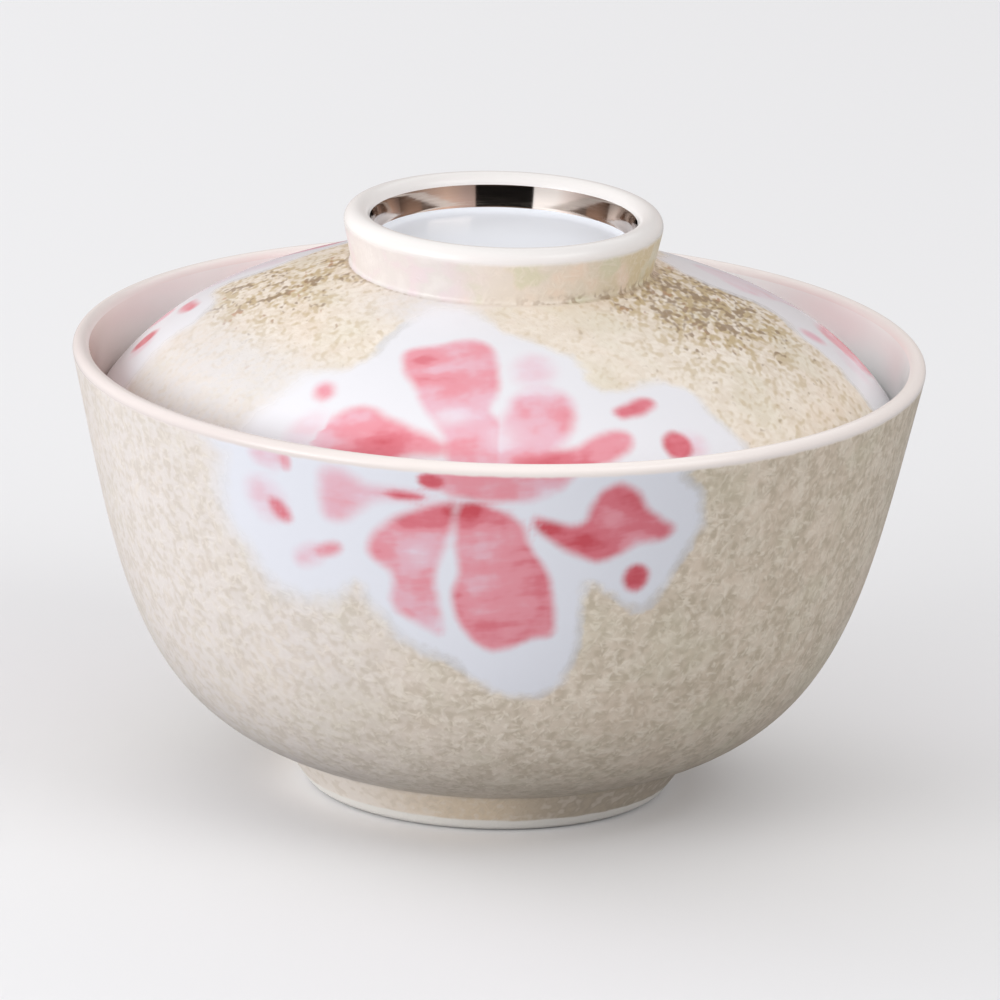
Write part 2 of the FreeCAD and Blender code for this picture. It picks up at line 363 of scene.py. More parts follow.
def lid_outline(form, bowl):
    """The lid's outline from the axis underneath, out to its edge, up over dome and knob.

    Each section is a line of points, its number of rows, and the glaze on it.
    """
    outside, wall, _ = bowl_outside(bowl)
    reach = (wall + form.seat_gap + form.wall / 2.0)[:, None]
    centres = outside + inward_normals(outside) * reach
    edge_height = bowl.height - form.drop
    edge_centre = np.array([np.interp(edge_height, centres[:, 1], centres[:, 0]), edge_height])

    half_wall = form.wall / 2.0
    edge_start = edge_centre + heading(pi / 2.0 - form.edge_slope) * half_wall
    root = np.array([form.knob_diameter / 2.0 - form.knob_flare, edge_height + form.dome_rise])
    dome = bezier(edge_start, edge_start - heading(-form.edge_slope) * form.edge_reach,
                  root + heading(-form.crown_slope) * form.crown_reach, root)
    underside = dome + inward_normals(dome) * form.wall

    knob_lip = form.knob_wall / 2.0
    ring_top = root[1] + form.knob_height
    well_edge = np.array([form.knob_diameter / 2.0 - form.knob_wall - form.well_draft,
                          ring_top - form.well_depth])
    well_centre = well_edge[1] + form.well_crown
    well_floor = bezier((0.0, well_centre), (well_edge[0] / 2.0, well_centre), well_edge)
    ring_centre = np.array([form.knob_diameter / 2.0 - knob_lip, ring_top - knob_lip])
    ring_inner = tangent_point(ring_centre, knob_lip, well_edge, -1)
    ring_outer = tangent_point(ring_centre, knob_lip, root, 1)
    crown = level_out(well_centre - form.crown_thickness, underside[-1],
                      -heading(-form.crown_slope))

    starts = [spot - ring_centre for spot in (ring_outer, ring_inner)]
    start, end = (np.arctan2(spoke[1], spoke[0]) for spoke in starts)
    end = end + 2.0 * pi if end < 0.0 else end
    ring_arc = arc(ring_centre, knob_lip, start, end)
    edge_turn = pi / 2.0 - form.edge_slope
    edge_arc = arc(edge_centre, half_wall, edge_turn - pi, edge_turn)
    crease_arc, crease_cut = rounded(dome[-1 - END_STEPS], root, ring_outer, form.crease_fillet)
    well_arc, well_cut = rounded(ring_inner, well_edge, well_floor[-1 - END_STEPS],
                                 form.well_fillet)

    return [
        ("crown", spaced(crown, 14), "inside"),
        ("underside", spaced(underside[::-1], 32), "inside"),
        ("edge", spaced(edge_arc, 14), "painted"),
        ("dome", spaced(dome, 62, 0.0, crease_cut), "painted"),
        ("crease", spaced(crease_arc, 5), "painted"),
        ("ring side", spaced(line(root, ring_outer), 14, crease_cut), "painted"),
        ("ring lip", spaced(ring_arc, 18), "painted"),
        ("ring inside", spaced(line(ring_inner, well_edge), 8, 0.0, well_cut), "platinum"),
        ("well corner", spaced(well_arc, 6), "well"),
        ("well floor", spaced(well_floor[::-1], 16, well_cut), "well"),
    ]


class Turned:
    """An outline carried round the axis, with the places on it that the painting needs.

    Vertex (row i, column j) is (r sin a, -r cos a, z) for the outline's point i, (r, z), and
    a = 2 pi j / columns. The first and last points lie on the axis and are one vertex each.
    """

    def __init__(self, sections):
        self.glazes = list(dict.fromkeys(glaze for _, _, glaze in sections))
        points = [sections[0][1][:1]]
        row_glaze = []
        self.start = {}
        for name, run, glaze in sections:
            self.start[name] = sum(len(part) for part in points) - 1
            points.append(run[1:])
            row_glaze += [self.glazes.index(glaze)] * (len(run) - 1)
        self.outline = np.vstack(points)
        self.row_glaze = np.array(row_glaze)
        self.run = run_length(self.outline)

    def places(self):
        """Azimuth and distance along the outline, in metres, of every vertex."""
        turn = np.arange(COLUMNS) * 2.0 * pi / COLUMNS
        rows = len(self.outline) - 2
        azimuth = np.concatenate([[0.0], np.tile(turn, rows), [0.0]])
        run = np.concatenate([self.run[:1], np.repeat(self.run[1:-1], COLUMNS), self.run[-1:]])
        return azimuth, run

    def vertices(self):
        turn = np.arange(COLUMNS) * 2.0 * pi / COLUMNS
        radius, height = self.outline[1:-1].T
        ring = np.stack([np.outer(radius, np.sin(turn)), np.outer(radius, -np.cos(turn)),
                         np.repeat(height[:, None], COLUMNS, axis=1)], axis=-1)
        ends = [[[0.0, 0.0, self.outline[row][1]]] for row in (0, -1)]
        return np.vstack([ends[0], ring.reshape(-1, 3), ends[1]])

    def faces(self):
        """Triangles at both poles and quads between, in the order of the rows."""
        column = np.arange(COLUMNS)
        after = (column + 1) % COLUMNS
        rows = len(self.outline) - 2
        first = 1 + column
        last = 1 + (rows - 1) * COLUMNS + column
        top = 1 + rows * COLUMNS
        under = np.column_stack([np.zeros_like(column), 1 + after, first])
        over = np.column_stack([last, 1 + (rows - 1) * COLUMNS + after, np.full_like(column, top)])
        low = 1 + np.arange(rows - 1)[:, None] * COLUMNS
        quads = np.stack([low + column, low + after, low + COLUMNS + after, low + COLUMNS + column],
                         axis=-1).reshape(-1, 4)
        return under[:, ::-1].tolist() + quads.tolist() + over.tolist()

    def mesh(self, name, materials):
        """The mesh, with each row's material and smooth shading."""
        mesh = bpy.data.meshes.new(name)
        mesh.from_pydata(self.vertices(), [], self.faces())
        for glaze in self.glazes:
            mesh.materials.append(materials[glaze])
        mesh.polygons.foreach_set("material_index", np.repeat(self.row_glaze, COLUMNS))
        mesh.polygons.foreach_set("use_smooth", np.ones(len(mesh.polygons), bool))
        mesh.update()
        if mesh.validate():
            raise RuntimeError(f"the faces of {name} needed repair")
        return mesh


def softened(outline, steps=6):
    """A closed curve through an outline's points: a cubic blend of each four in turn.

    It leaves each point along the line from the one before to the one after.
    """
    points = np.asarray(outline, float)
    before, start, end, after = (np.roll(points, shift, axis=0) for shift in (1, 0, -1, -2))
    t = np.arange(steps)[:, None, None] / steps
    curve = 0.5 * (2.0 * start + (end - before) * t
                   + (2.0 * before - 5.0 * start + 4.0 * end - after) * t ** 2
                   + (3.0 * start - before - 3.0 * end + after) * t ** 3)
    return curve.transpose(1, 0, 2).reshape(-1, 2)


def signed_distance(places, outline):
    """Distance from each place to a closed outline, below zero inside it.

    The nearest point of each edge is found by dropping a square line on it. A place is inside
    where a level line from it crosses the outline an odd number of times.
    """
    start = outline
    end = np.roll(outline, -1, axis=0)
    edge = end - start
    gap = places[:, None, :] - start[None]
    share_along = np.clip((gap * edge).sum(-1) / (edge ** 2).sum(-1), 0.0, 1.0)
    nearest = np.sqrt(((gap - share_along[..., None] * edge) ** 2).sum(-1)).min(1)
    x, y = places[:, None, 0], places[:, None, 1]
    straddles = (start[:, 1] > y) != (end[:, 1] > y)
    rise = np.where(edge[:, 1] == 0.0, 1.0, edge[:, 1])
    crossing = start[:, 0] + (y - start[:, 1]) / rise * edge[:, 0]
    inside = (straddles & (x < crossing)).sum(1) % 2 == 1
    return np.where(inside, -nearest, nearest)


def spot(x, y, across, along=None, tilt=0.0, points=10):
    """An oval outline: centre, two radii and how far it is turned, in degrees."""
    turn = np.linspace(0.0, 2.0 * pi, points, endpoint=False)
    along = across if along is None else along
    oval = np.column_stack([across * np.cos(turn), along * np.sin(turn)])
    tilt = radians(tilt)
    return np.array([x, y]) + oval @ np.array([[cos(tilt), sin(tilt)], [-sin(tilt), cos(tilt)]])


BOWL_MARKS = [
    # layer, outline in millimetres on the chart, pigment, softness of the edge in millimetres
    ("a", [(-10, 2), (11, 2), (11.4, -1.6), (7, -4.4), (1, -5), (-4, -4.8), (-8.4, -3.6),
           (-10, -1)], 0.42, 1.0),
    ("b", spot(-10.4, -1.7, 2.3, 1.5, -12), 0.85, 0.6),
    ("a", [(-28.6, -2.1), (-25, -1.4), (-21.4, -3.6), (-16, -4.0), (-11.1, -4.6), (-14.3, -5.5),
           (-19.3, -6.2), (-22.9, -8.6), (-25.7, -11.1), (-28.6, -10.7), (-29.3, -6.6)], 0.24, 1.5),
    ("b", [(-6.6, -5.6), (-11.4, -6.6), (-15.7, -8.9), (-19.3, -11.8), (-21.3, -15), (-20.4, -17.9),
           (-17.9, -19.6), (-17, -22), (-17.5, -25), (-16.8, -27.3), (-14.3, -29.0), (-10.4, -31.0),
           (-8.6, -31.4), (-8.9, -27.4), (-9.8, -20.7), (-8.6, -15.7), (-7.0, -10.7)], 0.41, 1.1),
    ("a", [(-5.5, -5.7), (-0.7, -6.1), (4.3, -8.9), (6.4, -14.0), (9.3, -18.6), (10.7, -24.0),
           (11.2, -30.7), (7.1, -32.1), (2.9, -34.1), (-0.7, -34.3), (-4.5, -31.0), (-6.4, -27.0),
           (-6.8, -23.6), (-5.7, -19.0), (-6.3, -12.5)], 0.50, 0.9),
    ("a", [(6.8, -8.0), (9.6, -8.8), (13.0, -9.5), (15.2, -8.6), (16.0, -5.6), (17.6, -3.0),
           (20.4, -1.8), (23.4, -3.2), (25.6, -6.8), (28.6, -9.4), (30.8, -11.4), (29.2, -13.2),
           (25, -13.7), (21.4, -15.7), (17.9, -16.9), (13.6, -15.1), (9.8, -12.7), (7.0, -10.2)],
     0.70, 1.0),
    ("b", spot(25.0, -20.5, 2.3, 2.7), 0.88, 0.8),
    ("b", spot(-37.1, -11.2, 2.5, 1.4, -48), 0.68, 1.0),
    ("a", spot(-39.8, -9.4, 3.2, 4.0, 30), 0.12, 1.8),
    ("b", spot(-28.5, -17.2, 2.6, 1.1, 22), 0.52, 1.0),
    ("a", spot(-32.2, -18.9, 3.0, 1.5, 30), 0.20, 1.5),
    ("b", spot(-14.8, -4.9, 3.4, 0.8, -4), 0.60, 0.7),
    ("b", spot(-35.3, -1.3, 0.9, 1.8), 0.42, 0.8),
    ("a", spot(-38.4, -1.0, 3.4, 2.2), 0.14, 1.2),
]

BOWL_POOLS = [
    # x, y, radii, change of pigment
    (-7.0, -7.2, 4.2, 2.0, 0.42),
    (-13.6, -9.6, 5.0, 1.8, 0.40),
    (-12.4, -16.4, 3.2, 3.8, -0.26),
    (-20.4, -15.6, 1.8, 2.8, 0.12),
    (-13.8, -25.6, 3.4, 3.0, -0.06),
    (-9.4, -29.6, 3.0, 3.0, -0.26),
    (-4.0, -7.4, 3.4, 2.2, 0.42),
    (-0.5, -13.2, 4.8, 3.0, -0.15),
    (-3.0, -21.6, 3.0, 2.4, -0.22),
    (8.8, -20.6, 2.2, 7.0, 0.14),
    (3.6, -30.2, 8.0, 2.6, 0.14),
    (-6.4, -25.0, 1.8, 3.0, 0.14),
    (-1.0, -2.4, 5.0, 2.0, 0.10),
    (8.2, -3.4, 3.0, 2.6, -0.28),
    (9.0, -9.8, 3.4, 1.8, 0.30),
    (15.4, -13.0, 4.6, 1.8, 0.22),
    (23.6, -6.0, 1.8, 3.4, 0.14),
    (20.4, -9.0, 3.0, 2.0, -0.12),
    (23.4, -13.2, 3.0, 1.6, -0.24),
    (-15.0, -4.9, 4.0, 0.9, 0.36),
    (-27.0, -9.4, 2.0, 1.6, 0.10),
]

BOWL_RESERVE = [
    # outline of the part that is left white, in millimetres on the chart
    (30.3, 4), (30.6, -0.4), (34.0, -4.2), (35.6, -8.2), (35.4, -12.6), (32.8, -17.2),
    (30.6, -22.2), (27.6, -26.2), (24.4, -25.8), (20.8, -23.2), (17.2, -20.6), (15.6, -22.6),
    (15.4, -27.4), (15.6, -32.4), (14.7, -37.4), (12.4, -42.2), (8.6, -43.6), (4.2, -44.0),
    (0, -42.1), (-3.4, -40.2), (-7.4, -36.4), (-12.9, -34.6), (-17.0, -31.0), (-20.6, -26.6),
    (-23.6, -22.4), (-28.6, -25.4), (-34.4, -26.0), (-39.6, -24.6), (-43.0, -19.4),
    (-46.8, -14.6), (-47.4, -8.0), (-45.8, -2.4), (-44.4, 4),
]

LID_MARKS = [
    # as BOWL_MARKS, on the lid's own chart
    ("a", [(-16.8, -45.4), (-16.9, -41.6), (-15.6, -39.8), (-12.6, -39.4), (-9.6, -39.0),
           (-5.9, -37.8), (-2.9, -38.6), (-0.9, -41.4), (0, -47.6), (0.0, -52.6), (-1.2, -57.0),
           (1.2, -60.4), (2.6, -65.0), (3.0, -72), (-7.4, -72), (-9.6, -62.4), (-13.0, -56.6),
           (-15.0, -50.4)],
     0.38, 1.0),
    ("b", spot(6.2, -46.4, 3.4, 4.4), 0.10, 2.0),
    ("a", [(1.8, -57), (3.0, -53.6), (7.0, -50.8), (11.6, -51.4), (13.8, -55.4), (13.2, -61.0),
           (10.6, -65.4), (7.6, -72), (-2.4, -72), (-1.4, -63), (0.6, -59.4)], 0.25, 1.4),
    ("b", [(-34.4, -58.3), (-29.3, -54.9), (-25.7, -53.6), (-22.1, -54.9), (-19.3, -57.6),
           (-14.3, -61.1), (-10.4, -63.6), (-8.2, -65.4), (-10.8, -66.6), (-15.4, -66.3),
           (-19.0, -66.8), (-22.4, -69.0), (-28.0, -67.4), (-32.0, -63.0)],
     0.48, 1.2),
    ("b", spot(-34.6, -56.2, 4.0, 3.0, 24), 0.10, 2.0),
    ("b", [(3.0, -68.4), (7.9, -66.4), (10, -65.1), (14.3, -63.6), (17.9, -60.4), (21.4, -58.3),
           (24.3, -58.4), (24.7, -61.1), (22.1, -64.4), (17.9, -67.2), (12.9, -69.4), (5, -72)],
     0.54, 1.0),
    ("b", spot(-31.1, -47.9, 1.8, 2.4, 10), 0.36, 1.2),
    ("a", [(20.9, -53.6), (22.9, -51.5), (25.7, -49), (27.9, -49), (27.9, -50.8), (25.7, -53.3),
           (22.9, -55.0), (21.4, -54.9)], 0.62, 0.9),
    ("b", spot(33.2, -57.5, 2.9, 2.9), 0.88, 0.8),
    ("a", spot(35.6, -56.6, 3.2, 2.4, 30), 0.14, 1.6),
]

LID_POOLS = [
    # as BOWL_POOLS
    (-14.6, -44.6, 3.6, 3.4, 0.16),
    (-11.6, -48.8, 5.0, 1.2, 0.24),
    (-12.0, -43.2, 5.0, 0.9, 0.10),
    (-8.0, -46.0, 6.0, 0.9, -0.12),
    (-3.0, -41.0, 2.4, 2.4, 0.08),
    (-8.6, -58.8, 5.0, 3.2, -0.32),
    (-6.6, -63.8, 2.6, 2.2, 0.14),
    (0.4, -63.6, 3.6, 4.0, -0.22),
    (-21.0, -63.6, 6.0, 2.6, 0.40),
    (-26.0, -55.2, 5.0, 2.4, -0.10),
    (-33.0, -58.4, 3.6, 3.4, -0.30),
    (-12.0, -64.4, 3.0, 2.0, 0.06),
    (12.2, -57.8, 2.4, 3.6, 0.20),
    (4.8, -56.0, 3.0, 2.6, 0.10),
    (7.6, -51.6, 5.0, 1.6, -0.16),
    (4.4, -67.6, 4.0, 1.6, 0.26),
    (12.0, -67.2, 6.5, 2.0, 0.34),
    (24.4, -60.2, 2.0, 2.4, -0.16),
]

LID_RESERVE = [
    (-6.4, -29.2), (-2.6, -32.0), (1.6, -36.0), (8.6, -39.2), (13.6, -42.6), (15.6, -47.4),
    (18.0, -49.6), (20.6, -49.2), (25.4, -45.6), (29.3, -43.4), (35.2, -44.2), (38.6, -47.6),
    (44.0, -50.2), (53, -56), (58, -68), (20, -88), (-20, -88), (-58, -66), (-47.0, -52.6),
    (-38.6, -47.4), (-33.6, -43.6), (-27.6, -43.8), (-22.6, -41.0), (-19.8, -36.6), (-16.6, -32.2),
    (-11.6, -29.4),
]


def pigment_layer(places, marks, layer):
    """Of one layer's brush marks: the nearest one's signed distance, pigment and softness."""
    best = np.full(len(places), FAR_AWAY)
    pigment = np.zeros(len(places))
    softness = np.ones(len(places))
    for name, outline, amount, soft in marks:
        if name != layer:
            continue
        curve = softened(outline)
        low, high = curve.min(0) - MARK_REACH, curve.max(0) + MARK_REACH
        near = np.all((places > low) & (places < high), axis=1)
        distance = np.full(len(places), FAR_AWAY)
        distance[near] = signed_distance(places[near], curve)
        closer = distance < best
        best[closer] = distance[closer]
        pigment[closer] = amount
        softness[closer] = soft * WET_EDGE
    return best, pigment, softness


def pooled(places, pools):
    """How the pigment gathers or thins: the sum of a bell curve for each pool."""
    total = np.zeros(len(places))
    for x, y, across, along, change in pools:
        reach = ((places[:, 0] - x) / across) ** 2 + ((places[:, 1] - y) / along) ** 2
        total += change * np.exp(-reach)
    return total


def motif_turn(azimuth):
    """Azimuth measured from the nearest of the three blossoms."""
    away = (azimuth[:, None] - np.radians(BLOSSOMS) + pi) % (2.0 * pi) - pi
    nearest = np.abs(away).argmin(1)
    return away[np.arange(len(azimuth)), nearest]


def lay_painting(mesh, places, marks, pools, reserve, faded=0.0):
    """Stores on each vertex what the glaze materials read; pigment is lost where it has faded."""
    gathered = pooled(places, pools) - faded
    for layer in ("a", "b"):
        distance, pigment, softness = pigment_layer(places, marks, layer)
        pigment = np.clip(pigment + gathered, LEAST_PIGMENT, 1.0)
        store_vector(mesh, f"marks_{layer}", np.column_stack([distance, pigment, softness]))
    store_value(mesh, "reserve", signed_distance(places, softened(reserve)))


def store_value(mesh, name, values):
    attribute = mesh.attributes.new(name, "FLOAT", "POINT")
    attribute.data.foreach_set("value", np.ascontiguousarray(values, np.float32))


def store_vector(mesh, name, values):
    attribute = mesh.attributes.new(name, "FLOAT_VECTOR", "POINT")
    attribute.data.foreach_set("vector", np.ascontiguousarray(values, np.float32).ravel())


class Brush:
    """Builds one material's nodes. Patterns are laid out in millimetres of Object space."""

    def __init__(self, name):
        self.material = bpy.data.materials.new(name)
        self.material.use_nodes = True
        self.tree = self.material.node_tree
        self.tree.nodes.clear()
        self.shader = self.tree.nodes.new("ShaderNodeBsdfPrincipled")
        output = self.tree.nodes.new("ShaderNodeOutputMaterial")
        self.tree.links.new(self.shader.outputs["BSDF"], output.inputs["Surface"])
        coordinates = self.tree.nodes.new("ShaderNodeTexCoord")
        self.place = coordinates.outputs["Object"]

    def put(self, socket, value):
        """Links a socket, or writes a plain value or colour into it."""
        if isinstance(value, bpy.types.NodeSocket):
            self.tree.links.new(value, socket)
        elif hasattr(value, "__len__") and len(socket.default_value) == 4:
            socket.default_value = (*value[:3], 1.0)
        else:
            socket.default_value = value

    def stretched(self, x, y, z, shift, tilt=0.0):
        """Object space, tilted about the Y axis and divided by a size in millimetres each way.

        Each pattern has a shift of its own, in millimetres, so that no two of them line up.
        """
        mapping = self.tree.nodes.new("ShaderNodeMapping")
        mapping.vector_type = "TEXTURE"
        mapping.inputs["Scale"].default_value = (MM * x, MM * y, MM * z)
        mapping.inputs["Rotation"].default_value = (0.0, radians(tilt), 0.0)
        mapping.inputs["Location"].default_value = [MM * shift * part for part in SHIFT_PARTS]
        self.tree.links.new(self.place, mapping.inputs["Vector"])
        return mapping.outputs["Vector"]

    def noise(self, vector, detail=2.0, roughness=0.5):
        """Noise from 0 to 1, mostly near 0.5, with features about one unit of the vector wide."""
        node = self.tree.nodes.new("ShaderNodeTexNoise")
        self.tree.links.new(vector, node.inputs["Vector"])
        node.inputs["Scale"].default_value = 1.0
        node.inputs["Detail"].default_value = detail
        node.inputs["Roughness"].default_value = roughness
        return node.outputs["Fac"]

    def stored(self, name, output="Fac"):
        """What the painting stored on the vertices under one name."""
        node = self.tree.nodes.new("ShaderNodeAttribute")
        node.attribute_name = name
        return node.outputs[output]

    def split(self, vector):
        """The three numbers of a vector."""
        node = self.tree.nodes.new("ShaderNodeSeparateXYZ")
        self.tree.links.new(vector, node.inputs["Vector"])
        return tuple(node.outputs)

    def height(self):
        """Millimetres above the table."""
        return self.math("DIVIDE", self.split(self.place)[2], MM)

    def math(self, operation, first, second=0.0):
        node = self.tree.nodes.new("ShaderNodeMath")
        node.operation = operation
        self.put(node.inputs[0], first)
        self.put(node.inputs[1], second)
        return node.outputs["Value"]

    def plus(self, first, second):
        return self.math("ADD", first, second)

    def minus(self, first, second):
        return self.math("SUBTRACT", first, second)

    def times(self, first, second):
        return self.math("MULTIPLY", first, second)

    def ease(self, value, low, high, start=0.0, end=1.0):
        """Goes smoothly from start to end while the value goes from low to high."""
        node = self.tree.nodes.new("ShaderNodeMapRange")
        node.interpolation_type = "SMOOTHSTEP"
        for name, number in (("Value", value), ("From Min", low), ("From Max", high),
                             ("To Min", start), ("To Max", end)):
            self.put(node.inputs[name], number)
        return node.outputs["Result"]

    def mix(self, factor, first, second):
        """The first colour where the factor is 0, and the second where it is 1."""
        node = self.tree.nodes.new("ShaderNodeMix")
        node.data_type = "RGBA"
        self.put(node.inputs[0], factor)
        self.put(node.inputs[6], first)
        self.put(node.inputs[7], second)
        return node.outputs[2]

    def ramp(self, factor, stops):
        """A run of colours, each at its own place between 0 and 1."""
        node = self.tree.nodes.new("ShaderNodeValToRGB")
        node.color_ramp.interpolation = "EASE"
        elements = node.color_ramp.elements
        while len(elements) < len(stops):
            elements.new(0.5)
        for element, (place, tone) in zip(elements, stops):
            element.position = place
            element.color = (*tone, 1.0)
        self.tree.links.new(factor, node.inputs["Fac"])
        return node.outputs["Color"]

    def bump(self, height, millimetres):
        """Lets the light fall as on a surface that stands up by a height from 0 to 1."""
        node = self.tree.nodes.new("ShaderNodeBump")
        node.inputs["Distance"].default_value = millimetres * MM
        self.tree.links.new(height, node.inputs["Height"])
        self.tree.links.new(node.outputs["Normal"], self.shader.inputs["Normal"])

    def finish(self, base, roughness, metallic=0.0):
        """Puts the last values on the shader, and gives the material."""
        self.put(self.shader.inputs["Base Color"], base)
        self.put(self.shader.inputs["Roughness"], roughness)
        self.shader.inputs["Metallic"].default_value = metallic
        return self.material


def grainy(brush, size, shift, deep=1.0):
    """Grains of one size over wider drifts, as noise about 0.5. Deep stretches them along Y."""
    drift = size * DRIFT_SIZE
    fine = brush.noise(brush.stretched(size, size * deep, size, shift), detail=0.0)
    wide = brush.noise(brush.stretched(drift, drift * deep, drift, shift + 9.0), detail=0.0)
    return brush.plus(brush.times(fine, FINE_SHARE), brush.times(wide, 1.0 - FINE_SHARE))


def grains(brush, size, shift):
    """Soft grains, from 0 to 1."""
    return brush.ease(grainy(brush, size, shift), 0.35, 0.65)


def dashes(brush, long, short, shift):
    """Short dashes that lean three ways: the peaks of three noises, each stretched one way."""
    ways = (brush.stretched(long, long, short, shift, tilt=14.0),
            brush.stretched(short, short, long, shift + 7.0, tilt=38.0),
            brush.stretched(short, short, long, shift + 15.0, tilt=-22.0))
    level, leaning, upright = (brush.noise(way, detail=1.0) for way in ways)
    peaks = brush.math("MAXIMUM", level, brush.math("MAXIMUM", leaning, upright))
    return brush.ease(peaks, 0.52, 0.74)


def mottled(brush, base, dark, light, size, shift, amount):
    """Soft darker and lighter patches of one size over a base colour."""
    patch = spread(brush, size, shift, detail=1.0)
    for full, tone in ((-0.17, dark), (0.17, light)):
        base = brush.mix(brush.ease(patch, 0.0, full, end=amount), base, tone)
    return base


def clouded(brush, base, first, second, amount):
    """Drifts of two tints over a base colour, in patches about a finger wide."""
    for size, shift, tint in ((11.0, 61.0, first), (12.0, 73.0, second)):
        base = brush.mix(brush.ease(spread(brush, size, shift), 0.0, 0.2, end=amount), base, tint)
    return base


def spread(brush, size, shift, detail=2.0):
    """Soft noise about zero, from -0.5 to 0.5, with features of one size in millimetres."""
    return brush.minus(brush.noise(brush.stretched(size, size, size, shift), detail), 0.5)


def left_white(brush, base, white, halo, shift):
    """Leaves the white reserve inside its outline. Also gives where it is white, from 0 to 1.

    The outline wanders by about a millimetre. Its edge is soft, softer under the painted sheen of
    the left lamps, and has a faint line along it in places, though none under that painted sheen.
    """
    thin = brush.stored("thin")
    wander = brush.times(spread(brush, 3.2, shift, detail=3.0), 2.8)
    distance = brush.plus(brush.stored("reserve"), wander)
    clear = brush.ease(distance, brush.ease(thin, 0.2, 0.9, start=1.7, end=6.5), -1.3)
    line = brush.times(brush.ease(distance, 1.6, 0.6), brush.ease(distance, -1.4, 0.2))
    line = brush.times(line, brush.ease(thin, 0.3, 0.6, start=1.0, end=0.0))
    patchy = brush.noise(brush.stretched(11.0, 11.0, 11.0, shift), detail=1.0)
    line = brush.times(line, brush.ease(patchy, 0.45, 0.65, end=0.5))
    return brush.mix(line, brush.mix(clear, base, white), halo), clear


def pigment(brush, base, colours):
    """Lays the two layers of petals over a base colour.

    A layer covers where its distance, moved a little by noise, is below zero. The less pigment,
    the paler and cooler the pink. Streaks follow the way that the brush was drawn, round the axis.
    """
    wander = brush.times(spread(brush, 3.0, shift=3.0), 0.8)
    streak = brush.minus(brush.noise(brush.stretched(8.0, 8.0, 2.2, shift=5.0, tilt=-7.0)), 0.5)
    drift = brush.plus(brush.times(streak, 0.52), brush.times(spread(brush, 4.5, shift=17.0), 0.50))
    tones = [(0.0, colours.petal_faint), (0.22, colours.petal_pale), (0.5, colours.petal_rose),
             (0.74, colours.petal_red), (1.0, colours.petal_deep)]
    for layer in ("a", "b"):
        distance, amount, softness = brush.split(brush.stored(f"marks_{layer}", "Vector"))
        distance = brush.plus(distance, wander)
        cover = brush.ease(distance, softness, brush.times(softness, -1.0))
        cover = brush.times(cover, brush.ease(amount, 0.0, 0.3, start=0.5))
        base = brush.mix(cover, base, brush.ramp(brush.plus(amount, drift), tones))
    return base


def skin(brush, fleck, white, rough, glossy):
    """Raises the flecks outside the white parts, and gives the roughness there and on the white."""
    brush.bump(brush.times(fleck, brush.minus(1.0, white)), FLECK_HEIGHT)
    return brush.ease(white, 0.0, 1.0, start=rough, end=glossy)


def painted_bowl_glaze(colours):
    """Outside of the bowl: flecked ground, white reserve, petals, white lip and bare foot edge."""
    brush = Brush("bowl_painted_glaze")
    thin = brush.stored("thin")
    height = brush.height()
    grain = grains(brush, 1.35, shift=0.0)
    fleck = dashes(brush, 2.1, 0.95, shift=3.0)
    ground = brush.mix(grain, colours.ground_deep, colours.ground)
    ground = brush.mix(brush.times(fleck, 0.66), ground, colours.fleck)
    ground = mottled(brush, ground, colours.ground_deep, colours.fleck, 4.0,
                     shift=91.0, amount=0.36)
    ground = clouded(brush, ground, colours.peach, colours.olive, amount=0.25)
    # painted sheen of the left lamps over the ground, broken by the grain
    sheened = brush.times(thin, brush.ease(grain, 0.0, 1.0, start=0.63, end=0.95))
    ground = brush.mix(sheened, ground, colours.bowl_sheen_ground)

    # partly painted light: the foot is deep beige on the right and back, pale on the left where the
    # left lamps fall
    foot = brush.mix(brush.ease(thin, 0.02, 0.2), colours.foot_deep_and_shade, colours.foot_warm)
    foot = brush.mix(brush.ease(thin, 0.2, 0.8), foot, colours.foot_pale_and_lit)
    foot = mottled(brush, foot, colours.ground, colours.foot_pale_and_lit, 2.0, shift=97.0, amount=0.4)
    ground = brush.mix(brush.ease(height, *FOOT_GROUND, end=0.9), ground, foot)

    base, clear = left_white(brush, ground, colours.reserve, colours.halo, shift=6.0)
    base = pigment(brush, base, colours)

    uneven = spread(brush, 3.5, shift=8.0)
    on_lip = brush.ease(brush.plus(brush.stored("down_wall"), brush.times(uneven, 0.5)), *LIP_LINE)
    # painted shade: the lip's glaze is darker on its left, against the left lamps
    lip = brush.mix(brush.ease(thin, 0.05, 0.7), colours.lip, colours.lip_shaded_left)
    base = brush.mix(on_lip, base, lip)
    bare = brush.ease(brush.plus(height, brush.times(uneven, 0.6)), *BARE_EDGE)
    base = brush.mix(bare, base, colours.clay)
    roughness = skin(brush, fleck, brush.math("MAXIMUM", clear, on_lip), 0.38, 0.26)
    return brush.finish(base, brush.plus(roughness, brush.times(bare, 0.35)))


